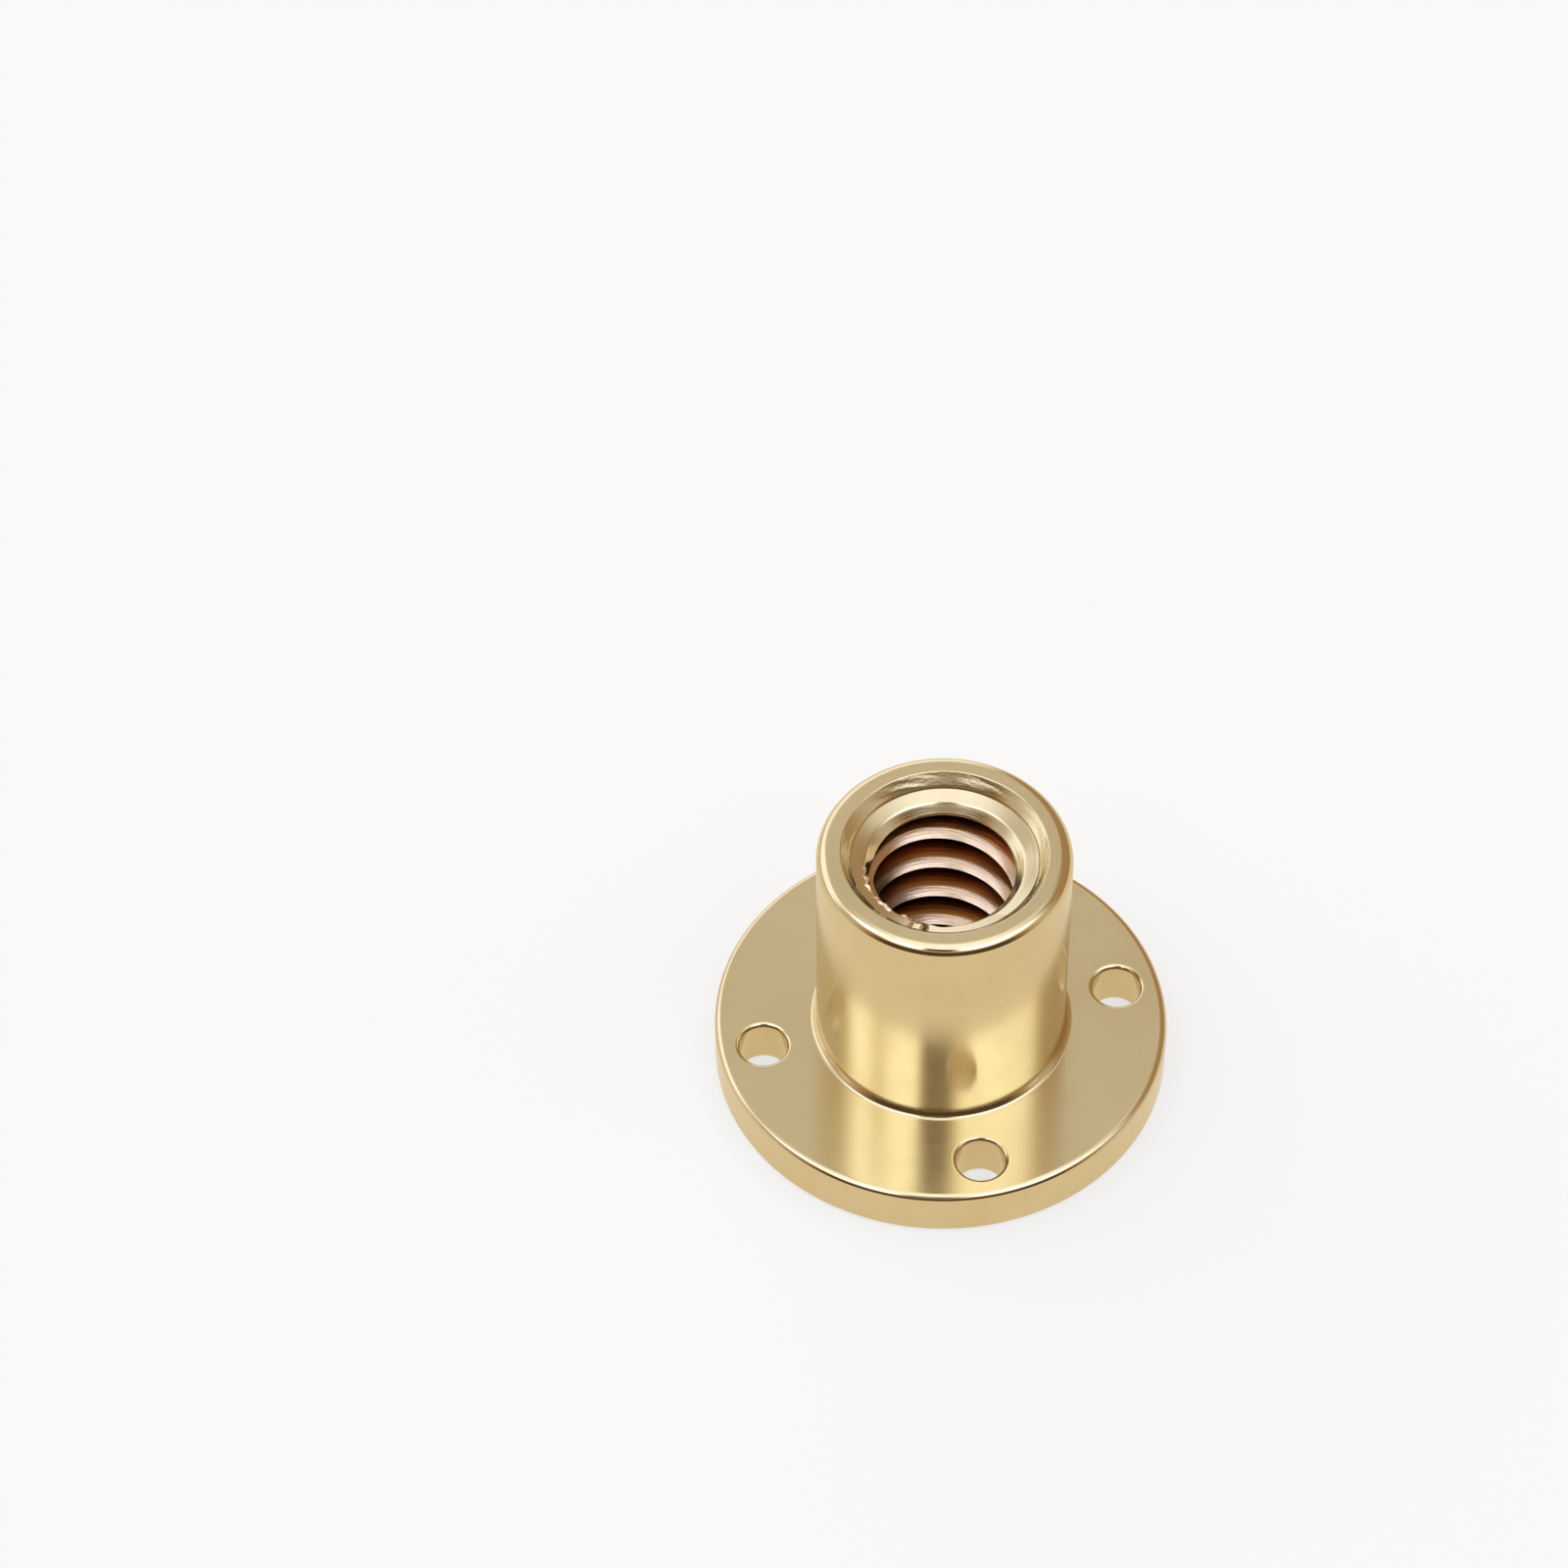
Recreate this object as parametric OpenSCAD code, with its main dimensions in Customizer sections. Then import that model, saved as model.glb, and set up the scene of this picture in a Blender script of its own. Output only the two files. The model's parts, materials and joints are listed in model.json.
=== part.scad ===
// Flanged lead screw nut, one turned brass piece with a single-start right-hand
// trapezoidal thread. Origin: centre of the flange's flat underside. +Z runs up the barrel.

/* [Flange] */
// flange diameter
flange_d = 30; // [28:0.5:44]
// flange thickness
flange_t = 3.5; // [2.5:0.1:6]
// round on the flange's upper edge
flange_round = 0.5; // [0.2:0.05:1]
// small bevel on the flange's lower edge
flange_bevel = 0.25; // [0.1:0.05:0.6]

/* [Barrel] */
// barrel diameter
barrel_d = 16.5; // [15.5:0.1:19]
// barrel height above the flange
barrel_h = 17.2; // [10:0.1:40]
// round on the barrel's upper rim
rim_round = 0.7; // [0.2:0.05:1]
// fillet between the barrel and the flange
root_fillet = 0.45; // [0.1:0.05:1]

/* [Thread] */
// nominal diameter of the screw that the thread takes
thread_d = 12; // [10:0.5:12.5]
// axial pitch, equal to the lead of a single start
pitch = 3; // [2:0.5:3]
// included angle between the two flanks of the groove
flank_angle = 30; // [29:0.5:30]
// radial play between the screw's crest and the root of the groove
root_play = 0.25; // [0.15:0.05:0.3]
// radial amount by which the bore is opened past the thread's basic minor diameter
bore_play = 0.1; // [0:0.05:0.2]
// angle from +X at which the groove's centre leaves the underside
thread_start = 38; // [0:1:359]
// straight steps in one turn of the groove
turn_steps = 36; // [24:12:48]

/* [Mouth] */
// diameter of the flat rim's inner edge, where the 45 degree lead-in starts
mouth_d = 13.4; // [12.8:0.1:14.2]
// diameter of the counterbore below the lead-in
counterbore_d = 12.05; // [11:0.05:12.6]
// height of the counterbore's straight wall
counterbore_wall = 0.15; // [0.05:0.05:1]
// included angle of the cone at the counterbore's bottom, a drill's point
cone_angle = 117; // [90:1:140]
// how far the bevel of the lower mouth reaches past the root of the groove
entry_margin = 0.2; // [0.05:0.05:0.5]

/* [Bolt holes] */
// number of bolt holes
hole_count = 4; // [3:1:8]
// diameter of a bolt hole
hole_d = 3.2; // [2.4:0.1:4]
// diameter of the bolt circle
bolt_circle_d = 24; // [22.5:0.5:25]
// bevel on both edges of a bolt hole
hole_bevel = 0.2; // [0.05:0.05:0.4]
// angle of the first bolt hole from +X
first_hole_angle = 11; // [0:1:90]

/* [Hidden] */
$fn = 96;
flange_r = flange_d / 2;
barrel_r = barrel_d / 2;
mouth_r = mouth_d / 2;
counterbore_r = counterbore_d / 2;
top = flange_t + barrel_h;
// basic trapezoidal profile: half the pitch deep, groove and land equal at the pitch radius
pitch_r = (thread_d - pitch / 2) / 2;
minor_r = (thread_d - pitch) / 2 + bore_play;
root_r = thread_d / 2 + root_play;
entry_r = root_r + entry_margin;
lead_in_low = top - (mouth_r - counterbore_r);
cone_top = lead_in_low - counterbore_wall;
cone_low = cone_top - (counterbore_r - minor_r) / tan(cone_angle / 2);
// how far a cutter reaches past the face that it opens
over = 1;
groove_over = 0.3;
brass = [0.83, 0.69, 0.42];

// half section of the outside, radius along X and height along Y
module outside_section() {
  polygon([
    [0, 0], [flange_r - flange_bevel, 0], [flange_r, flange_bevel],
    [flange_r, flange_t - flange_round], [0, flange_t - flange_round]
  ]);
  square([flange_r - flange_round, flange_t]);
  translate([flange_r - flange_round, flange_t - flange_round]) circle(flange_round);
  square([barrel_r, top - rim_round]);
  square([barrel_r - rim_round, top]);
  translate([barrel_r - rim_round, top - rim_round]) circle(rim_round);
  translate([barrel_r, flange_t]) difference() {
    translate([-over, -over]) square(root_fillet + over);
    translate([root_fillet, root_fillet]) circle(root_fillet);
  }
}

// half section of the bore: bevel, straight bore, cone, counterbore and lead-in
module bore_section() {
  polygon([
    [0, -over], [entry_r + over, -over], [minor_r, entry_r - minor_r], [minor_r, cone_low],
    [counterbore_r, cone_top], [counterbore_r, lead_in_low], [mouth_r, top],
    [mouth_r, top + over], [0, top + over]
  ]);
}

module turned_blank() {
  rotate_extrude() difference() {
    outside_section();
    bore_section();
  }
}

// a bolt hole with a bevel at each face, standing on the axis
module bolt_hole() {
  r = hole_d / 2;
  mouth = r + hole_bevel + over;
  rotate_extrude() polygon([
    [0, -over], [mouth, -over], [r, hole_bevel],
    [r, flange_t - hole_bevel], [mouth, flange_t + over], [0, flange_t + over]
  ]);
}

// half the groove's height along the axis at radius r
function groove_half(r) = pitch / 4 - (r - pitch_r) * tan(flank_angle / 2);

// helical groove: the trapezoid between two flanks, swept up the axis past both ends
module thread_groove() {
  inner_r = minor_r - groove_over;
  steps = (ceil(top / pitch) + 2) * turn_steps;
  corners = [[inner_r, -1], [root_r, -1], [root_r, 1], [inner_r, 1]];
  points = [
    for (i = [0:steps])
      let (turn = i / turn_steps - 1, a = thread_start + 360 * turn)
        for (c = corners)
          [c[0] * cos(a), c[0] * sin(a), pitch * turn + c[1] * groove_half(c[0])]
  ];
  sides = [
    for (i = [0:steps - 1], k = [0:3])
      let (a = 4 * i + k, b = 4 * i + (k + 1) % 4)
        each [[a, b, b + 4], [a, b + 4, a + 4]]
  ];
  end = 4 * steps;
  caps = [[0, 3, 2], [0, 2, 1], [end, end + 1, end + 2], [end, end + 2, end + 3]];
  polyhedron(points, concat(caps, sides));
}

module flanged_nut() {
  color(brass) difference() {
    turned_blank();
    for (i = [0:hole_count - 1])
      rotate([0, 0, first_hole_angle + 360 * i / hole_count])
        translate([bolt_circle_d / 2, 0, 0]) bolt_hole();
    thread_groove();
  }
}

flanged_nut();
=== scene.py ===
import json
from math import atan2, ceil, cos, exp, hypot, log, pi, radians, sin, tan

import bpy
from mathutils import Matrix, Vector, noise
from mathutils.geometry import delaunay_2d_cdt


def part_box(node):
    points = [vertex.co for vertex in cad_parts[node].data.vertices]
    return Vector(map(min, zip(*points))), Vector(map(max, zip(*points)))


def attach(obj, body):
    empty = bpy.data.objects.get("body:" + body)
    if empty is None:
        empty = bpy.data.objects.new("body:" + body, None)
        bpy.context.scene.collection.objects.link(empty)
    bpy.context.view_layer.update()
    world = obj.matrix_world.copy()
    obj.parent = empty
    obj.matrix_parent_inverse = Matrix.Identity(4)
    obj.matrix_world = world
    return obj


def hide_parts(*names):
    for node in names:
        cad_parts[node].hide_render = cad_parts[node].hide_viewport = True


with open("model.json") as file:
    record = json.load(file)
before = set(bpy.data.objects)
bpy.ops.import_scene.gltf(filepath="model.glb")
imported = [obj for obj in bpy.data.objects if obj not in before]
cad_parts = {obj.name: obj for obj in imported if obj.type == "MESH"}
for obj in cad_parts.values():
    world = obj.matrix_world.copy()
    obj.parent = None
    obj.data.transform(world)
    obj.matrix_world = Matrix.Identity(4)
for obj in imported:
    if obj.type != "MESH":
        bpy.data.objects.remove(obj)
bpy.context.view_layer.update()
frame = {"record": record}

# One polished visual mesh stands for the turned nut. It is worked out in millimetres, in
# cylindrical coordinates about the thread's axis. Every face corner has a normal of its own: the
# surface's true one, except on and just above the thread's lands, where it is tilted for shading.
MM = 0.001
NODE = "flanged_nut"
cad_low, cad_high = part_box(NODE)
mounts = {mount["name"]: mount for mount in frame["record"]["mounts"]}

# sizes, in millimetres
FLANGE_R = (cad_high.x - cad_low.x) / 2 / MM
FLANGE_T = mounts["flange_upper_face"]["pos_m"][2] / MM
TOP = cad_high.z / MM
BARREL_R = mounts["barrel"]["dims"]["r_mm"]
HOLE_COUNT = mounts["bolt_holes"]["dims"]["count"]
HOLE_R = mounts["bolt_holes"]["dims"]["hole_r_mm"]
HOLE_RING_R = mounts["bolt_holes"]["dims"]["pcd_mm"] / 2
FIRST_HOLE = 11.0
HOLE_ROUND = 0.29
HOLE_BEVEL = 0.2
FLANGE_ROUND = 0.5
FLANGE_BEVEL = 0.25
BEVEL_SOFT = 0.1
ROOT_FOOT, ROOT_RISE = 0.27, 0.44
ROOT_FILLETS = 0.35, 0.3
RIM_ROUND = 0.85
MOUTH_ROUND = 0.12
LEAD_IN_SOFT = 0.25
MOUTH_R = 6.7
COUNTERBORE_R = 6.025
LEAD_IN_DEPTH = 0.7
COUNTERBORE_WALL = 0.25
CONE_ANGLE = 117.0
MINOR_R = mounts["thread"]["dims"]["r_mm"]
ROOT_R = 6.25
PITCH_R = 5.25
PITCH = 3.0
FLANK = radians(15)
THREAD_START = 38.0
ENTRY_R = ROOT_R + 0.2
BROKEN_EDGE = 0.04
CONE_RINGS = 24

LEAD_IN_LOW = TOP - LEAD_IN_DEPTH
CONE_TOP = LEAD_IN_LOW - COUNTERBORE_WALL
CONE_RISE = 1 / tan(radians(CONE_ANGLE / 2))
CONE_LOW = CONE_TOP - (COUNTERBORE_R - MINOR_R) * CONE_RISE
CONE_BEND_R = 5.14
CONE_SOFT = 0.035
CONE_UPPER_SLOPE = tan(radians(19))

# the burr that the chamfering tool smeared over the run-out of the groove: its skin, the
# angles that it spans, the angle over which it fades in and out, and how far the edge is torn back
FOIL = 0.1
CEILING = CONE_LOW - FOIL
BURR_FROM, BURR_TO = 168.0, 258.0
BURR_FADE = 14.0
BURR_SETBACK = 0.5
TEAR_DEPTH = 0.3
# towards its end the burr's setback shrinks to this share: where that starts and over how much
NARROW_SHARE = 0.25
NARROW_LEAD, NARROW_STOP, NARROW_FADE = 90.0, 8.0, 38.0
# the bead along the lip: its least height, its width, and its drop to the edge
BEAD_HEIGHT, BEAD_WIDTH, BEAD_DROP = 0.012, 0.05, 0.02
# where the groove's lower flank comes out through the cone
RUN_OUT_FROM, RUN_OUT_TO = 245.0, 340.0
RUN_OUT_FADE, RUN_OUT_WANDER = 10.0, 9.0
RUN_OUT_SETBACK = 0.2
FULL_TURNS = 720.0

# how far up the shading normals of the thread's lands lean, at their upper and lower edge, in
# degrees
CREST_LEAN = 71.0, 58.0
FLANK_FACES_UP = 90 - FLANK * 180 / pi
# rounds of the thread's profile: the land's lower edge, its upper edge, and the groove's root
LAND_ROUNDS = 0.07, 0.16, 0.12

# finishes, as material slots of the mesh
TURNED, ROUNDED, LEAD_IN, BORED, THREAD = range(5)

COLUMNS = 320
column_angles = [360.0 * i / COLUMNS for i in range(COLUMNS)]


class Skin:
    """Collects faces with a normal at each corner and makes them one welded mesh."""

    def __init__(self):
        self.index = {}
        self.points = []
        self.faces = []
        self.normals = []
        self.finishes = []

    def vertex(self, point):
        key = tuple(round(c, 5) for c in point)
        if key not in self.index:
            self.index[key] = len(self.points)
            self.points.append(point)
        return self.index[key]

    def face(self, corners, finish):
        """corners are (point, normal) pairs; the winding follows the normals."""
        kept = []
        for point, normal in corners:
            vertex = self.vertex(point)
            if vertex not in [k[0] for k in kept]:
                kept.append((vertex, point, normal))
        if len(kept) < 3:
            return
        facing = Vector()
        for i in range(len(kept)):
            facing += kept[i][1].cross(kept[(i + 1) % len(kept)][1])
        if facing.dot(sum((k[2] for k in kept), Vector())) < 0:
            kept.reverse()
        self.faces.append([k[0] for k in kept])
        self.normals.extend(k[2].normalized() for k in kept)
        self.finishes.append(finish)

    def mesh(self, name):
        mesh = bpy.data.meshes.new(name)
        mesh.from_pydata([p * MM for p in self.points], [], self.faces)
        mesh.polygons.foreach_set("material_index", self.finishes)
        mesh.polygons.foreach_set("use_smooth", [True] * len(self.faces))
        mesh.normals_split_custom_set(self.normals)
        return mesh


skin = Skin()


def place(angle, r, z):
    a = radians(angle)
    return Vector((r * cos(a), r * sin(a), z))


def turn(angle, nr, nz, ntheta=0.0):
    """The world direction of a normal given along the radius, the axis and the turn."""
    a = radians(angle)
    return Vector((nr * cos(a) - ntheta * sin(a), nr * sin(a) + ntheta * cos(a), nz))


def rounded(corners, step=8.0):
    """A path through (r, z, fillet) corners as (r, z, nr, nz), its normals on the right.

    step is the most that the path bends from one place to the next in a fillet, in degrees.
    """
    places = [Vector(c[:2]) for c in corners]
    path = []
    for i, here in enumerate(places):
        before = (here - places[i - 1]).normalized() if i else None
        after = (places[i + 1] - here).normalized() if i + 1 < len(places) else None
        if before is None or after is None:
            way = after if before is None else before
            path.append((here.x, here.y, way.y, -way.x))
            continue
        bend = atan2(before.x * after.y - before.y * after.x, before.dot(after))
        fillet = corners[i][2]
        if fillet == 0:
            path.append((here.x, here.y, before.y, -before.x))
            path.append((here.x, here.y, after.y, -after.x))
            continue
        side = 1 if bend > 0 else -1
        start = here - before * fillet * tan(abs(bend) / 2)
        centre = start + Vector((-before.y, before.x)) * fillet * side
        steps = max(2, ceil(abs(bend) / radians(step)))
        for k in range(steps + 1):
            way = Matrix.Rotation(bend * k / steps, 2) @ before
            spot = centre + Vector((way.y, -way.x)) * fillet * side
            path.append((spot.x, spot.y, way.y, -way.x))
    return path


def lathe(path, angles, finish):
    """Turns a path of (r, z, nr, nz) about the axis, with a ring of points at each place."""
    for a, b in zip(path, path[1:]):
        if hypot(a[0] - b[0], a[1] - b[1]) < 1e-6:
            continue
        for i, t0 in enumerate(angles):
            t1 = angles[(i + 1) % len(angles)]
            skin.face([(place(t, p[0], p[1]), turn(t, p[2], p[3]))
                       for t, p in ((t0, a), (t1, a), (t1, b), (t0, b))], finish)


# ---------------------------------------------------------------- thread

def thread_rows():
    """One pitch of the thread from its upper end down, as (r, z, nr, nz), groove in the middle.

    The lands are plain cylinders between two small rounds. Only their shading normals lean up,
    most of all at the upper edge, which makes them look worn round.
    """
    half = PITCH / 2
    at_minor = PITCH / 4 + (PITCH_R - MINOR_R) * tan(FLANK)
    at_root = PITCH / 4 - (ROOT_R - PITCH_R) * tan(FLANK)
    land = PITCH - 2 * at_minor
    under_edge, upper_edge, root = LAND_ROUNDS
    path = rounded([
        (MINOR_R, PITCH, 0), (MINOR_R, half + at_minor, under_edge),
        (ROOT_R, half + at_root, root), (ROOT_R, half - at_root, root),
        (MINOR_R, half - at_minor, upper_edge), (MINOR_R, 0, 0),
    ], 15.0)
    rows = []
    for r, z, nr, nz in path:
        lean = atan2(nz, -nr) * 180 / pi
        if r < MINOR_R + 0.2:
            below_top = (land / 2 - z) if z < half else (land / 2 + PITCH - z)
            share = min(max(below_top / land, 0), 1)
            worn = CREST_LEAN[0] + (CREST_LEAN[1] - CREST_LEAN[0]) * share
            if z < half:
                lean = worn + lean / FLANK_FACES_UP * max(0.0, FLANK_FACES_UP - worn)
            else:
                lean = worn + -lean / FLANK_FACES_UP * (-FLANK_FACES_UP - worn)
        rows.append((r, z, -cos(radians(lean)), sin(radians(lean))))
    return rows


def clip(polygon, inside):
    """Cuts a polygon of (angle, r, z, nr, nz) corners; returns it and the points on the cut."""
    kept, cut = [], []
    for i, here in enumerate(polygon):
        there = polygon[(i + 1) % len(polygon)]
        a, b = inside(here), inside(there)
        if a >= 0:
            kept.append(here)
        if (a < 0) != (b < 0):
            low, high = (here, there) if a < b else (there, here)
            part = inside(low) / (inside(low) - inside(high))
            spot = tuple(p + (q - p) * part for p, q in zip(low, high))
            kept.append(spot)
            cut.append(spot)
    return kept, cut


def below_ceiling(corner):
    return CEILING - corner[2]


def above_entry(corner):
    return corner[1] + corner[2] - ENTRY_R


def thread():
    """The helical bore between the lower bevel and the ceiling; returns the two cut edges."""
    rows = thread_rows()
    top_edge, low_edges = {}, []
    climb = PITCH / (2 * pi)

    def corner(row, turn_number, column):
        r, z, nr, nz = row
        angle = 360.0 * column / COLUMNS
        height = z - PITCH / 2 + PITCH * (turn_number + (angle - THREAD_START) / 360)
        return (angle, r, height, nr, nz)

    for turn_number in range(-1, ceil(TOP / PITCH) + 2):
        for a, b in zip(rows, rows[1:]):
            if hypot(a[0] - b[0], a[1] - b[1]) < 1e-6:
                continue
            for column in range(COLUMNS):
                cell = [corner(a, turn_number, column), corner(a, turn_number, column + 1),
                        corner(b, turn_number, column + 1), corner(b, turn_number, column)]
                if min(map(below_ceiling, cell)) < 0:
                    cell, cut = clip(cell, below_ceiling)
                    for spot in cut:
                        top_edge[round(spot[0], 6) % 360] = spot[1]
                if len(cell) >= 3 and min(map(above_entry, cell)) < 0:
                    cell, cut = clip(cell, above_entry)
                    if len(cut) == 2:
                        low_edges.append([(spot[0], spot[1]) for spot in cut])
                if len(cell) < 3:
                    continue
                skin.face([(place(t, r, z), turn(t, nr, nz, -climb * nz / r))
                           for t, r, z, nr, nz in cell], THREAD)
    return top_edge, low_edges


def groove_here(angle, r, z):
    """True inside the space that the thread's groove takes."""
    middle = PITCH * (angle - THREAD_START) / 360
    off = (z - middle + PITCH / 2) % PITCH - PITCH / 2
    return r < ROOT_R and abs(off) < PITCH / 4 - (r - PITCH_R) * tan(FLANK)


# ---------------------------------------------------------------- lower mouth

def entry_bevel(edges):
    """The 45 degree bevel at the lower mouth, cut where the groove runs out through it."""
    scale = radians(1) * ENTRY_R
    points, index, lines = [], {}, []

    def add(angle, r):
        key = (round(angle, 5), round(r, 5))
        if key not in index:
            index[key] = len(points)
            points.append((angle, r))
        return index[key]

    for edge in edges:
        lines.append([add(*spot) for spot in edge])
    rings = 8
    for column in range(COLUMNS + 1):
        angle = 360.0 * column / COLUMNS
        for k in range(rings + 1):
            r = ENTRY_R + (MINOR_R - ENTRY_R) * k / rings
            if k == 0 or not groove_here(angle, r, ENTRY_R - r):
                add(angle, r)
    flat = [Vector((angle * scale, r)) for angle, r in points]
    lines = [line for line in lines if line[0] != line[1]]
    result = delaunay_2d_cdt(flat, lines, [], 0, 1e-6)
    spots = [points[origin[0]] if origin else (v.x / scale, v.y)
             for v, origin in zip(result[0], result[3])]
    for triangle in result[2]:
        corners = [spots[i] for i in triangle]
        angle = sum(c[0] for c in corners) / 3
        r = sum(c[1] for c in corners) / 3
        if r < MINOR_R or groove_here(angle, r, ENTRY_R - r):
            continue
        skin.face([(place(t, q, ENTRY_R - q), turn(t, -1, -1)) for t, q in corners], BORED)


# ---------------------------------------------------------------- upper mouth

def window(value, low, high, soft):
    """1 between low and high, falling to 0 within soft of either."""
    def ease(x):
        x = min(max(x, 0), 1)
        return x * x * (3 - 2 * x)
    return ease((value - low) / soft) * ease((high - value) / soft)


def ragged(angle, rate, seed):
    """Seeded noise that closes on itself round the axis."""
    a = radians(angle)
    return noise.noise(Vector((cos(a) * rate, sin(a) * rate, seed)))


def cone(r):
    """Height of the cone, which bends down more steeply towards the opening."""
    bend = CONE_SOFT * log(1 + exp((CONE_BEND_R - r) / CONE_SOFT)) / (CONE_BEND_R - MINOR_R)
    upper = (COUNTERBORE_R - r) * CONE_UPPER_SLOPE
    lower = (COUNTERBORE_R - MINOR_R) * (CONE_RISE - CONE_UPPER_SLOPE)
    return CONE_TOP - upper - lower * bend


def mouth_floor(angle, r):
    """Height of the cone, or of the groove's lower flank where that runs out through it."""
    groove_middle = PITCH * (angle - THREAD_START) / 360 + PITCH * (ceil(TOP / PITCH) - 1)
    flank = groove_middle - PITCH / 4 + (r - PITCH_R) * tan(FLANK)
    wandering = angle + RUN_OUT_WANDER * ragged(angle, 11, 4.4)
    opened = window(wandering, RUN_OUT_FROM, FULL_TURNS, RUN_OUT_FADE)
    return cone(r) - opened * max(0.0, cone(r) - flank)


def lip_path(angle):
    """From the cone inward over the edge of the opening, with the burr that hangs there."""
    torn = window(angle, BURR_FROM, BURR_TO, BURR_FADE)
    full = window(angle, BURR_FROM - NARROW_LEAD, BURR_TO - NARROW_STOP, NARROW_FADE)
    worn = window(angle, RUN_OUT_FROM + 8, RUN_OUT_TO, 16.0)
    tear = 0.6 * ragged(angle, 7, 3.1) + 0.6 * ragged(angle, 14, 7.7)
    reach = NARROW_SHARE + (1 - NARROW_SHARE) * full
    setback = torn * (BURR_SETBACK * reach + TEAR_DEPTH * tear) + worn * RUN_OUT_SETBACK
    lumps = 0.07 + 0.26 * ragged(angle, 9, 1.3) + 0.16 * ragged(angle, 23, 9.1)
    bead = BEAD_HEIGHT + torn * max(0.0, lumps)
    wide = BEAD_WIDTH + torn * (0.05 + 0.08 * ragged(angle, 12, 5.9)) + 0.04 * worn
    drop = BEAD_DROP + 0.055 * worn
    r = MINOR_R + max(0.0, setback)

    def top(beyond):
        return mouth_floor(angle, r + beyond)

    outer, inner = COUNTERBORE_R - 0.06, r + 2.6 * wide + 0.03
    radii = [outer + (inner - outer) * k / CONE_RINGS for k in range(CONE_RINGS + 1)]
    return [(radius, mouth_floor(angle, radius)) for radius in radii] + [
        (r + 2.6 * wide, top(2.6 * wide)),
        (r + 1.6 * wide, top(1.6 * wide) + bead * 0.45 - drop * 0.1),
        (r + 0.9 * wide, top(0.9 * wide) + bead - drop * 0.3),
        (r + 0.3 * wide, top(0.3 * wide) + bead * 0.8 - drop * 0.6),
        (r, top(0) - drop),
        (r + 0.01, top(0) - FOIL),
    ]


def mouth_cone(angles, edge):
    """The cone from the counterbore's wall to the lip, and the ceiling of the groove below it."""
    paths = [[(COUNTERBORE_R, CONE_TOP), (COUNTERBORE_R, mouth_floor(angle, COUNTERBORE_R))]
             + lip_path(angle) for angle in angles]
    count = len(angles)
    rings = len(paths[0])
    spots = [[place(angle, r, z) for r, z in path] for angle, path in zip(angles, paths)]

    def normal(i, k):
        along = spots[(i + 1) % count][k] - spots[i - 1][k]
        down = spots[i][min(k + 1, rings - 1)] - spots[i][max(k - 1, 1)]
        return along.cross(down).normalized()

    wall = [turn(angle, -1, 0) for angle in angles]
    for i in range(count):
        j = (i + 1) % count
        skin.face([(spots[i][0], wall[i]), (spots[j][0], wall[j]),
                   (spots[j][1], wall[j]), (spots[i][1], wall[i])], BORED)
        for k in range(1, rings - 1):
            skin.face([(spots[a][b], normal(a, b))
                       for a, b in ((i, k), (j, k), (j, k + 1), (i, k + 1))], BORED)
        # an undercut groove has a ceiling; elsewhere the land's worn edge lies here
        hangs = edge[i] > paths[i][-1][0]
        inner, outer = [], []
        for m in (i, j):
            outer.append(Vector((0, 0, -1)) if hangs else turn(angles[m], -0.5, 0.87))
            inner.append(Vector((0, 0, -1)) if hangs else turn(angles[m], -0.92, 0.39))
        skin.face([(spots[i][-1], outer[0]), (spots[j][-1], outer[1]),
                   (place(angles[j], edge[j], CEILING), inner[1]),
                   (place(angles[i], edge[i], CEILING), inner[0])], THREAD)


# ---------------------------------------------------------------- flange faces and holes

def hole_centre(number):
    a = radians(FIRST_HOLE + 360.0 * number / HOLE_COUNT)
    return Vector((HOLE_RING_R * cos(a), HOLE_RING_R * sin(a)))


HOLE_STEPS = 96
HOLE_MARGIN = 0.03
HOLE_EDGE_R = HOLE_R + HOLE_ROUND + HOLE_MARGIN


def hole_ring(number, r):
    centre = hole_centre(number)
    return [centre + Vector((r * cos(2 * pi * k / HOLE_STEPS), r * sin(2 * pi * k / HOLE_STEPS)))
            for k in range(HOLE_STEPS)]


def bolt_hole(number):
    centre = hole_centre(number)
    path = rounded([
        (HOLE_EDGE_R, FLANGE_T, 0), (HOLE_R, FLANGE_T, HOLE_ROUND),
        (HOLE_R, HOLE_BEVEL, BROKEN_EDGE), (HOLE_R + HOLE_BEVEL, 0, BROKEN_EDGE),
        (HOLE_EDGE_R, 0, 0),
    ], 11.0)
    shift = Vector((centre.x, centre.y, 0))
    for a, b in zip(path, path[1:]):
        for k in range(HOLE_STEPS):
            t0 = 360.0 * k / HOLE_STEPS
            t1 = 360.0 * (k + 1) / HOLE_STEPS
            skin.face([(shift + place(t, p[0], p[1]), turn(t, p[2], p[3]))
                       for t, p in ((t0, a), (t1, a), (t1, b), (t0, b))], ROUNDED)


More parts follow.
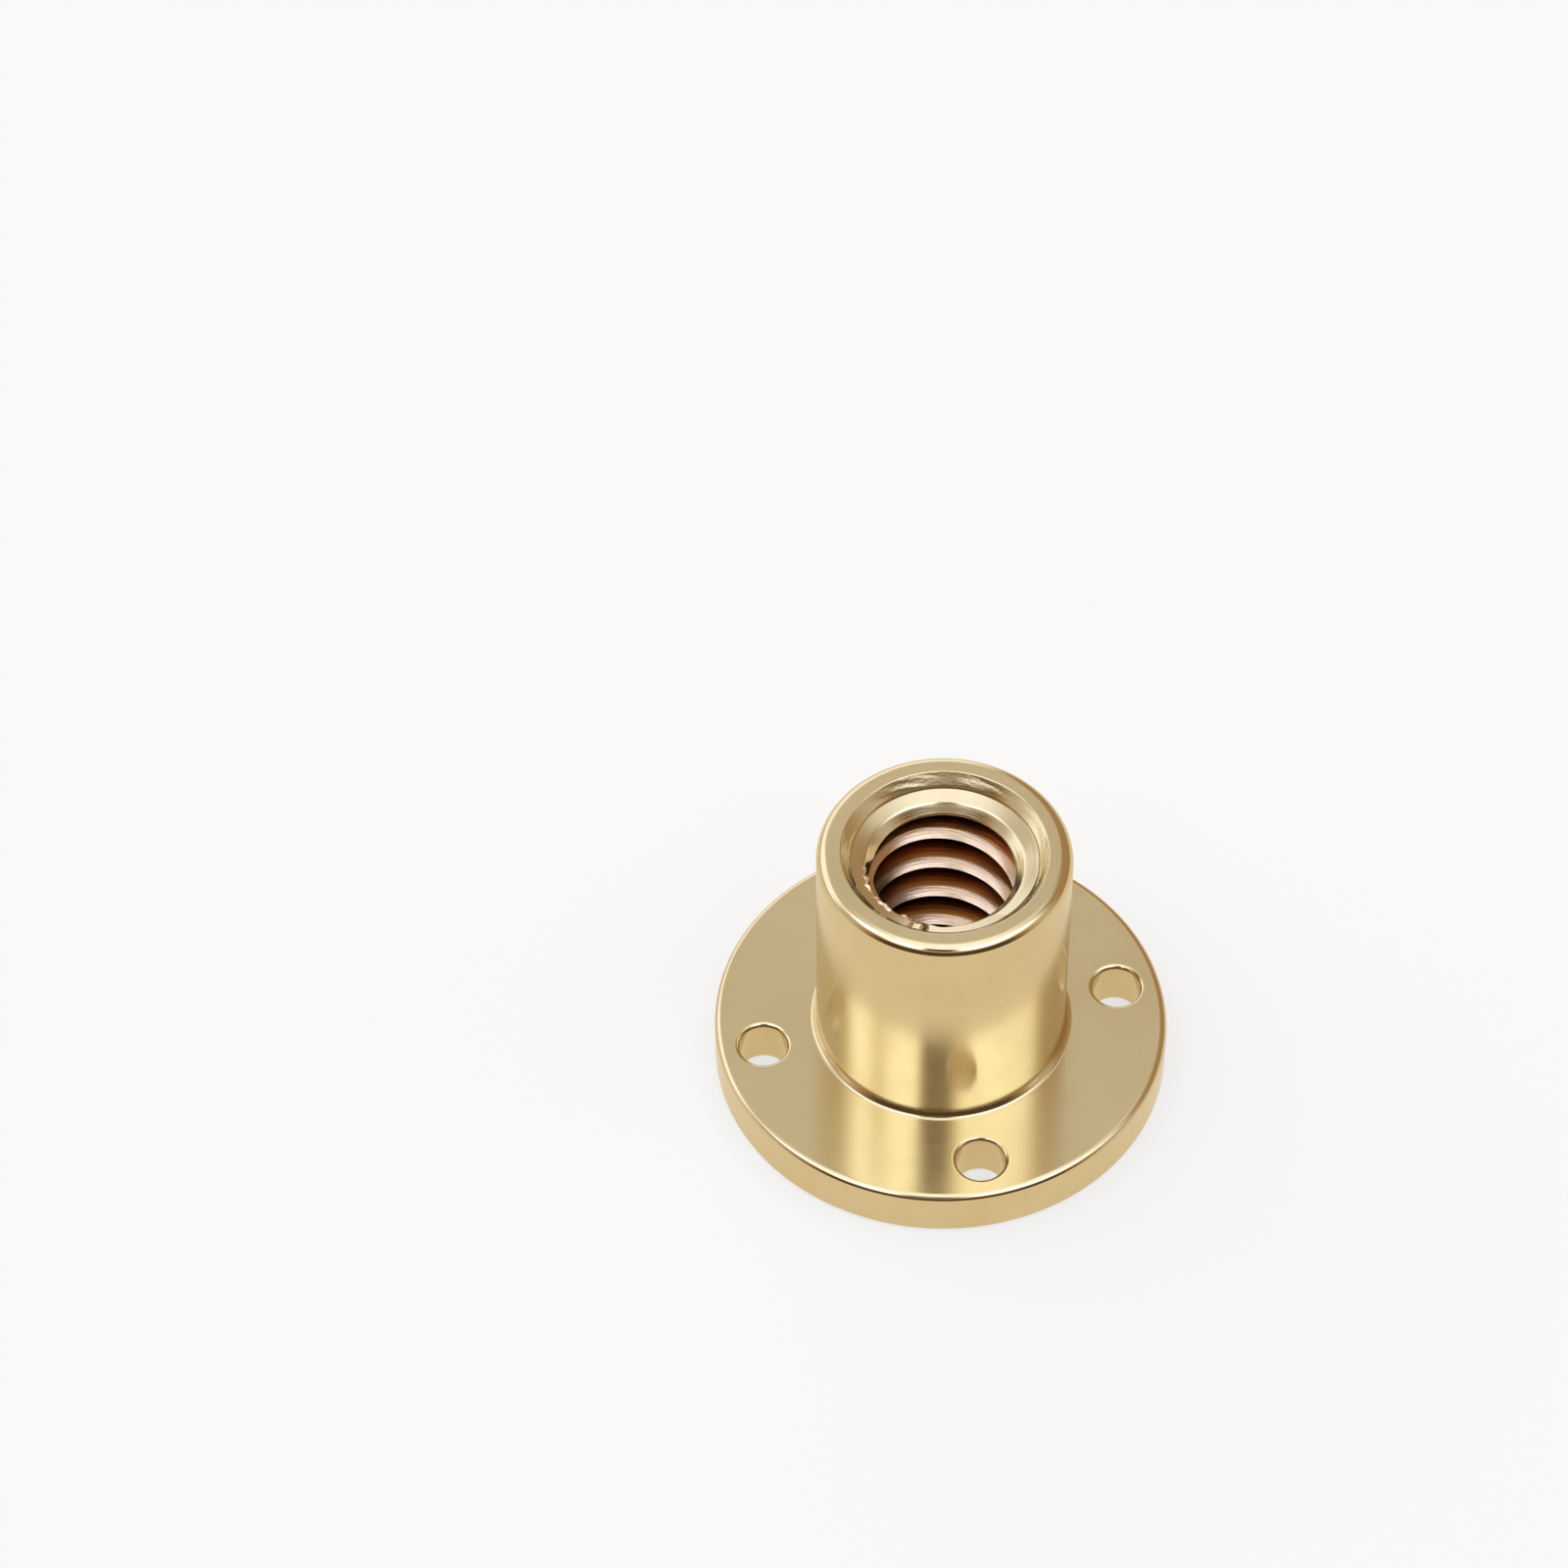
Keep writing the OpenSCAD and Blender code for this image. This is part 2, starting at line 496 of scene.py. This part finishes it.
def flat_face(z, up, inner_r, inner_angles, outer_r):
    """A flat ring of the flange with the bolt holes left open."""
    loops = [[Vector(place(t, inner_r, 0)[:2]) for t in inner_angles],
             [Vector(place(t, outer_r, 0)[:2]) for t in column_angles]]
    loops += [hole_ring(number, HOLE_EDGE_R) for number in range(HOLE_COUNT)]
    flat, lines = [], []
    for loop in loops:
        first = len(flat)
        flat += loop
        lines += [(first + k, first + (k + 1) % len(loop)) for k in range(len(loop))]
    result = delaunay_2d_cdt(flat, lines, [], 1, 1e-6)
    spots = [flat[origin[0]] if origin else v for v, origin in zip(result[0], result[3])]
    normal = Vector((0, 0, up))
    centres = [hole_centre(number) for number in range(HOLE_COUNT)]
    for triangle in result[2]:
        corners = [spots[i] for i in triangle]
        middle = sum(corners, Vector((0, 0))) / 3
        if middle.length < inner_r or any((middle - c).length < HOLE_EDGE_R for c in centres):
            continue
        skin.face([(Vector((c.x, c.y, z)), normal) for c in corners], TURNED)


# ---------------------------------------------------------------- the nut

def is_round(a, b):
    """True for a stretch of the outline that is neither upright nor flat."""
    return abs(a[2] * a[3]) + abs(b[2] * b[3]) > 0.02


def build_nut():
    top_edge, low_edges = thread()
    top_angles = sorted(top_edge)
    mouth_cone(top_angles, [top_edge[t] for t in top_angles])
    entry_bevel(low_edges)
    flange_edge = rounded([
        (FLANGE_R - 1, 0, 0), (FLANGE_R - FLANGE_BEVEL, 0, BEVEL_SOFT),
        (FLANGE_R, FLANGE_BEVEL, BEVEL_SOFT), (FLANGE_R, FLANGE_T, FLANGE_ROUND),
        (FLANGE_R - 1, FLANGE_T, 0),
    ])
    lathe(flange_edge[1:-1], column_angles, ROUNDED)
    barrel = rounded([
        (BARREL_R + 1, FLANGE_T, 0), (BARREL_R + ROOT_FOOT, FLANGE_T, ROOT_FILLETS[0]),
        (BARREL_R, FLANGE_T + ROOT_RISE, ROOT_FILLETS[1]),
        (BARREL_R, TOP, RIM_ROUND), (MOUTH_R, TOP, MOUTH_ROUND),
        (COUNTERBORE_R, LEAD_IN_LOW, LEAD_IN_SOFT), (COUNTERBORE_R, CONE_TOP, 0),
    ])
    for low, high in zip(barrel[1:], barrel[2:]):
        if (low[0] + high[0]) / 2 < MOUTH_R + 0.1:
            finish = LEAD_IN if low[3] + high[3] > 1.2 else ROUNDED
        else:
            finish = ROUNDED if is_round(low, high) else TURNED
        lathe([low, high], top_angles, finish)
    flat_face(FLANGE_T, 1, barrel[1][0], top_angles, flange_edge[-2][0])
    flat_face(0, -1, ENTRY_R, column_angles, flange_edge[1][0])
    for number in range(HOLE_COUNT):
        bolt_hole(number)
    return skin.mesh("brass_nut")


# ---------------------------------------------------------------- materials

class Graph:
    """Adds nodes to a node tree. Most methods return the new node's output."""

    def __init__(self, tree):
        self.nodes = tree.nodes
        self.links = tree.links

    def add(self, kind, **values):
        made = self.nodes.new(kind)
        for key, value in values.items():
            setattr(made, key, value)
        return made

    def feed(self, socket, value):
        """Links an output to the socket, or sets the socket to a number or an RGB colour."""
        if isinstance(value, bpy.types.NodeSocket):
            self.links.new(value, socket)
        else:
            socket.default_value = (*value, 1) if isinstance(value, tuple) else value

    def math(self, operation, *values):
        made = self.add("ShaderNodeMath", operation=operation)
        for socket, value in zip(made.inputs, values):
            self.feed(socket, value)
        return made.outputs["Value"]

    def combine(self, **parts):
        made = self.add("ShaderNodeCombineXYZ")
        for axis, value in parts.items():
            self.feed(made.inputs[axis], value)
        return made.outputs["Vector"]

    def ramp(self, value, start, end, low, high, curve="SMOOTHSTEP"):
        made = self.add("ShaderNodeMapRange", interpolation_type=curve)
        for name, number in (("Value", value), ("From Min", start), ("From Max", end),
                             ("To Min", low), ("To Max", high)):
            self.feed(made.inputs[name], number)
        return made.outputs["Result"]

    def mix(self, factor, a, b, kind="FLOAT"):
        made = self.add("ShaderNodeMix", data_type=kind)
        for name, value in (("Factor", factor), ("A", a), ("B", b)):
            self.feed(made.inputs[name], value)
        return made.outputs["Result"]

    def noise(self, vector, scale, detail):
        made = self.add("ShaderNodeTexNoise")
        for name, value in (("Vector", vector), ("Scale", scale), ("Detail", detail)):
            self.feed(made.inputs[name], value)
        return made.outputs["Fac"]

    def spread(self, value, low, high):
        """Spreads the middle of a noise's range, where most of it lies, from low to high."""
        return self.ramp(value, 0.3, 0.7, low, high, "LINEAR")


# noise scales, in waves a metre, and how much clouds and tool marks change the roughness
CLOUD_SCALE, SPECK_SCALE = 260.0, 5200.0
CLOUD_ROUGHNESS = -0.015, 0.02
MARK_ROUGHNESS = -0.012, 0.015
SPECK_SHARE = 0.25
# the helical marks: waves round the helix, waves a metre across it, and how fast they change
HELIX_WAVES, HELIX_ACROSS, HELIX_DRIFT = 4.0, 6000.0, 350.0
FADE_STREAK = 0.15


def ring_marks(graph, where, parts, radius, pitch, stretch, detail):
    """Tool marks round the axis: noise over the section, drawn out along the turn."""
    section = graph.combine(X=radius, Z=parts.outputs["Z"])
    slip = graph.add("ShaderNodeVectorMath", operation="SCALE")
    graph.feed(slip.inputs[0], where)
    graph.feed(slip.inputs["Scale"], 1 / stretch)
    ringed = graph.add("ShaderNodeVectorMath", operation="ADD")
    graph.feed(ringed.inputs[0], section)
    graph.feed(ringed.inputs[1], slip.outputs["Vector"])
    return graph.noise(ringed.outputs["Vector"], 1 / (pitch * MM), detail)


def helical_marks(graph, parts, radius):
    """Tool marks along the thread's helix, as four-dimensional noise that has no seam."""
    x, y, z = parts.outputs
    angle = graph.math("ARCTAN2", y, x)
    phase = graph.math("SUBTRACT", graph.math("MULTIPLY", z, 2 * pi / (PITCH * MM)), angle)
    drift = graph.math("MULTIPLY", y, HELIX_DRIFT)
    across = graph.combine(
        X=graph.math("MULTIPLY", graph.math("COSINE", phase), HELIX_WAVES),
        Y=graph.math("MULTIPLY", graph.math("SINE", phase), HELIX_WAVES),
        Z=graph.math("MULTIPLY_ADD", radius, HELIX_ACROSS, drift))
    marks = graph.add("ShaderNodeTexNoise", noise_dimensions="4D")
    for name, value in (("Vector", across), ("W", graph.math("MULTIPLY", x, HELIX_DRIFT)),
                        ("Scale", 1.0), ("Detail", 2.0)):
        graph.feed(marks.inputs[name], value)
    return marks.outputs["Fac"]


def faded_tone(graph, radius, marks, fade):
    """The tone at a radius, from (radius, tone) pairs, with its edges broken by the marks. For the
    thread it is painted shade, darker deeper in the groove.
    """
    inner, outer = fade[0][0], fade[-1][0]
    reach = graph.ramp(radius, inner * MM, outer * MM, 0.0, 1.0, "LINEAR")
    reach = graph.math("ADD", reach, graph.spread(marks, -FADE_STREAK, FADE_STREAK))
    depth = graph.add("ShaderNodeValToRGB")
    stops = depth.color_ramp.elements
    stops[0].position, stops[-1].position = 0, 1
    for r, _ in fade[1:-1]:
        stops.new((r - inner) / (outer - inner))
    for stop, (_, tone) in zip(stops, fade):
        stop.color = (*tone, 1)
    graph.feed(depth.inputs["Fac"], reach)
    return depth.outputs["Color"]


def brass(name, roughness, mark_depth, tones=None, rings=None, fade=None, grain=0.0):
    """Turned brass with tool marks, faint clouding and fine specks.

    rings gives the marks' (pitch, stretch, detail) and tones the two that the brass clouds
    between. With fade the marks follow the thread's helix and the tone goes by the radius
    instead, as painted shade that darkens into the groove. grain spreads reflections across the
    marks.
    """
    material = bpy.data.materials.new(name)
    material.use_nodes = True
    graph = Graph(material.node_tree)
    shader = graph.nodes["Principled BSDF"]
    shader.inputs["Metallic"].default_value = 1.0
    shader.inputs["Anisotropic"].default_value = grain
    shader.inputs["Anisotropic Rotation"].default_value = 0.25

    where = graph.add("ShaderNodeTexCoord").outputs["Object"]
    parts = graph.add("ShaderNodeSeparateXYZ")
    graph.feed(parts.inputs["Vector"], where)
    length = graph.add("ShaderNodeVectorMath", operation="LENGTH")
    graph.feed(length.inputs[0], graph.combine(X=parts.outputs["X"], Y=parts.outputs["Y"]))
    radius = length.outputs["Value"]
    clouds = graph.noise(where, CLOUD_SCALE, 3.0)
    specks = graph.noise(where, SPECK_SCALE, 1.0)

    if fade:
        marks = helical_marks(graph, parts, radius)
        tone = faded_tone(graph, radius, marks, fade)
    else:
        marks = ring_marks(graph, where, parts, radius, *rings)
        tone = graph.mix(graph.spread(clouds, 0.0, 1.0), *tones, "RGBA")
    graph.feed(shader.inputs["Base Color"], tone)

    clouded = graph.spread(clouds, *(roughness + change for change in CLOUD_ROUGHNESS))
    marked = graph.spread(marks, *MARK_ROUGHNESS)
    graph.feed(shader.inputs["Roughness"], graph.math("ADD", clouded, marked))
    if grain:
        round_axis = graph.add("ShaderNodeTangent", direction_type="RADIAL", axis="Z")
        graph.feed(shader.inputs["Tangent"], round_axis.outputs["Tangent"])

    bump = graph.add("ShaderNodeBump")
    bump.inputs["Strength"].default_value = 1.0
    bump.inputs["Distance"].default_value = mark_depth * MM
    graph.feed(bump.inputs["Height"], graph.math("MULTIPLY_ADD", specks, SPECK_SHARE, marks))
    graph.feed(shader.inputs["Normal"], bump.outputs["Normal"])
    return material


BRASS_TONES = (0.78, 0.655, 0.41), (0.755, 0.62, 0.375)
LEAD_IN_TONES = (0.78, 0.655, 0.41), (0.74, 0.61, 0.37)
BORED_TONES = (0.78, 0.66, 0.44), (0.74, 0.61, 0.39)
FINE_RINGS = 0.16, 50, 2.0
CHATTER_RINGS = 0.5, 4, 0.6
BORED_RINGS = 0.22, 14, 2.0
# painted shade: tones of the thread by radius, darkening from the lands into the groove to nearly
# black at its root
THREAD_SHADE_BY_RADIUS = [
    (MINOR_R + 0.02, (0.64, 0.465, 0.335)), (MINOR_R + 0.25, (0.6, 0.4, 0.21)),
    (MINOR_R + 0.7, (0.38, 0.19, 0.095)), (MINOR_R + 1.05, (0.26, 0.115, 0.065)),
    (MINOR_R + 1.25, (0.05, 0.022, 0.014)),
]

finishes = {
    TURNED: brass("turned_brass", 0.18, 0.0004, BRASS_TONES, FINE_RINGS, grain=0.55),
    ROUNDED: brass("rounded_brass", 0.1, 0.0004, BRASS_TONES, FINE_RINGS),
    LEAD_IN: brass("chamfered_brass", 0.22, 0.04, LEAD_IN_TONES, CHATTER_RINGS),
    BORED: brass("bored_brass", 0.18, 0.011, BORED_TONES, BORED_RINGS),
    # the thread's finish carries painted shade, darker towards the groove's root
    THREAD: brass("threaded_brass", 0.17, 0.012, fade=THREAD_SHADE_BY_RADIUS),
}

nut = bpy.data.objects.new("brass_nut", build_nut())
bpy.context.scene.collection.objects.link(nut)
for finish in sorted(finishes):
    nut.data.materials.append(finishes[finish])
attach(nut, "root")
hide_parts(NODE)


# ---------------------------------------------------------------- floor

# the floor lies a hair under the flange and is clear from beneath, so the underside can be seen
FLOOR_Z = -0.02 * MM


FLOOR_HALF = 1.5
FLOOR_TONE = (0.92, 0.885, 0.82)
WHITE = (1, 1, 1)
# what each kind of ray sees of the floor besides its own lit surface: tone and share
FLOOR_GLOWS = [("Is Camera Ray", WHITE, 0.66), ("Is Glossy Ray", (0.86, 0.755, 0.57), 0.8),
               ("Is Transmission Ray", WHITE, 0.66)]


def white_sheet():
    """The floor's material, lit by the studio but shown nearly white, with the shadow kept."""
    material = bpy.data.materials.new("white_sheet")
    material.use_nodes = True
    graph = Graph(material.node_tree)
    graph.nodes.clear()

    def blended(share, below, above):
        made = graph.add("ShaderNodeMixShader")
        graph.feed(made.inputs["Fac"], share)
        graph.links.new(below, made.inputs[1])
        graph.links.new(above, made.inputs[2])
        return made.outputs["Shader"]

    lit = graph.add("ShaderNodeBsdfDiffuse")
    graph.feed(lit.inputs["Color"], FLOOR_TONE)
    surface = lit.outputs["BSDF"]
    rays = graph.add("ShaderNodeLightPath")
    for ray, tone, weight in FLOOR_GLOWS:
        glow = graph.add("ShaderNodeEmission")
        graph.feed(glow.inputs["Color"], tone)
        graph.feed(glow.inputs["Strength"], 1.0)
        share = graph.math("MULTIPLY", rays.outputs[ray], weight)
        surface = blended(share, surface, glow.outputs["Emission"])
    side = graph.add("ShaderNodeNewGeometry")
    clear = graph.add("ShaderNodeBsdfTransparent")
    out = graph.add("ShaderNodeOutputMaterial")
    graph.feed(out.inputs["Surface"],
               blended(side.outputs["Backfacing"], surface, clear.outputs["BSDF"]))
    return material


def make_floor():
    h = FLOOR_HALF
    mesh = bpy.data.meshes.new("floor")
    mesh.from_pydata([(x, y, FLOOR_Z) for x, y in ((-h, -h), (h, -h), (h, h), (-h, h))],
                     [], [(0, 1, 2, 3)])
    mesh.materials.append(white_sheet())
    floor = bpy.data.objects.new("floor", mesh)
    bpy.context.scene.collection.objects.link(floor)


make_floor()


# ---------------------------------------------------------------- studio light

# levels of the studio's light: 1 is white
ZENITH = 1.56
BACK_LOW, BACK_HIGH = 1.4, 0.7
LEFT_LOW, LEFT_HIGH = 1.55, 0.7
RIGHT_LOW, RIGHT_HIGH = 0.38, 1.0
SIDE_HORIZON = 0.32
FRONT_LOW, FRONT_LOW_SIDES = 0.08, 0.62
FRONT_HIGH, FRONT_DIP, RIGHT_SHARE = 2.35, 1.65, 0.86
CAMERA_GAP = 0.03
# the brighter the light, the cooler: (level, tint)
LIGHT_TINTS = [(0.25, (1.2, 0.77, 0.38)), (0.7, (0.98, 0.93, 0.84)), (1.1, (0.9, 0.88, 0.88)),
               (1.5, (0.86, 0.9, 0.97)), (2.15, (0.86, 0.99, 1.25))]


def studio_level(graph, x, y, z):
    """How bright the studio is in a direction. Elevations and azimuths are in degrees."""
    math, ramp, blend = graph.math, graph.ramp, graph.mix

    def between(value, start, full, fading, end):
        return math("MULTIPLY", ramp(value, start, full, 0.0, 1.0),
                    ramp(value, fading, end, 1.0, 0.0))

    to_degrees = 180 / pi
    up = math("MULTIPLY", math("ARCSINE", z), to_degrees)
    # azimuth from straight in front and from straight behind, positive to the right
    side = math("MULTIPLY", math("ARCTAN2", x, math("MULTIPLY", y, -1.0)), to_degrees)
    behind = math("MULTIPLY", math("ARCTAN2", x, y), to_degrees)
    away = math("ABSOLUTE", side)

    # behind: bright near the horizon, dimmer above
    back = blend(ramp(up, 22, 40, 0.0, 1.0), BACK_LOW, BACK_HIGH)
    back = blend(ramp(up, 58, 82, 0.0, 1.0), back, ZENITH)
    # at the sides, towards the back
    left = ramp(up, 39, 47, LEFT_LOW, LEFT_HIGH)
    right = ramp(up, 46, 64, RIGHT_LOW, RIGHT_HIGH)
    beside = blend(ramp(side, -20, 20, 0.0, 1.0), left, right)
    beside = blend(ramp(up, 0, 12, 1.0, 0.0), beside, SIDE_HORIZON)
    beside = blend(ramp(up, 56, 80, 0.0, 1.0), beside, ZENITH)
    rear = blend(between(behind, -42, -28, 5, 16), beside, back)
    # in front: dark low down, bright high up, with the camera's own dim reflection between
    low = ramp(away, 45, 80, FRONT_LOW, FRONT_LOW_SIDES)
    high = blend(between(side, -76, -62, -60, -46), FRONT_HIGH, FRONT_DIP)
    high = math("MULTIPLY", high, ramp(side, 42, 78, 1.0, RIGHT_SHARE))
    front = blend(ramp(up, 31, 50, 0.0, 1.0), low, high)
    gap = math("MULTIPLY", between(side, -25, -16, 4, 21), between(up, 36, 46, 58, 64))
    front = blend(gap, front, CAMERA_GAP)
    front = blend(ramp(up, 58, 68, 0.0, 1.0), front, ZENITH)
    return blend(ramp(away, 84, 106, 0.0, 1.0), front, rear)


def make_world():
    """A soft studio: bright overhead and at both front sides, dim low in front and behind."""
    world = bpy.data.worlds.new("studio")
    bpy.context.scene.world = world
    world.use_nodes = True
    graph = Graph(world.node_tree)
    graph.nodes.clear()

    parts = graph.add("ShaderNodeSeparateXYZ")
    graph.feed(parts.inputs["Vector"], graph.add("ShaderNodeTexCoord").outputs["Generated"])
    level = studio_level(graph, *parts.outputs)
    tint = LIGHT_TINTS[0][1]
    for (start, _), (end, above) in zip(LIGHT_TINTS, LIGHT_TINTS[1:]):
        tint = graph.mix(graph.ramp(level, start, end, 0.0, 1.0), tint, above, "RGBA")

    # the camera sees plain white
    rays = graph.add("ShaderNodeLightPath")
    seen = graph.math("MAXIMUM", rays.outputs["Is Camera Ray"],
                      rays.outputs["Is Transmission Ray"])
    light = graph.add("ShaderNodeBackground")
    graph.feed(light.inputs["Color"], graph.mix(seen, tint, WHITE, "RGBA"))
    graph.feed(light.inputs["Strength"], graph.mix(seen, level, 1.0))
    out = graph.add("ShaderNodeOutputWorld")
    graph.feed(out.inputs["Surface"], light.outputs["Background"])
    world.cycles.sampling_method = "MANUAL"
    world.cycles.sample_map_resolution = 1024


make_world()


# ---------------------------------------------------------------- camera

def make_camera():
    """The photograph's view: far off with a long lens, looking down at about 50 degrees."""
    down_angle = radians(50.106)
    roll = radians(-0.5723)
    distance = 357.816
    off_right, off_down = 10.401, 15.341
    right = Vector((1, 0, 0))
    down = Vector((0, -sin(down_angle), -cos(down_angle)))
    ahead = Vector((0, cos(down_angle), -sin(down_angle)))
    right, down = (right * cos(roll) - down * sin(roll), right * sin(roll) + down * cos(roll))
    centre = Vector((0, 0, FLANGE_T))
    eye = centre - right * off_right - down * off_down - ahead * distance
    data = bpy.data.cameras.new("camera")
    data.sensor_width = 36
    data.lens = 123.75
    data.clip_start = 0.01
    data.clip_end = 20
    camera = bpy.data.objects.new("camera", data)
    turn_to = Matrix((right, -down, -ahead)).transposed().to_4x4()
    camera.matrix_world = Matrix.Translation(eye * MM) @ turn_to
    bpy.context.scene.collection.objects.link(camera)
    bpy.context.scene.camera = camera


make_camera()
bpy.context.scene.view_settings.view_transform = "Standard"
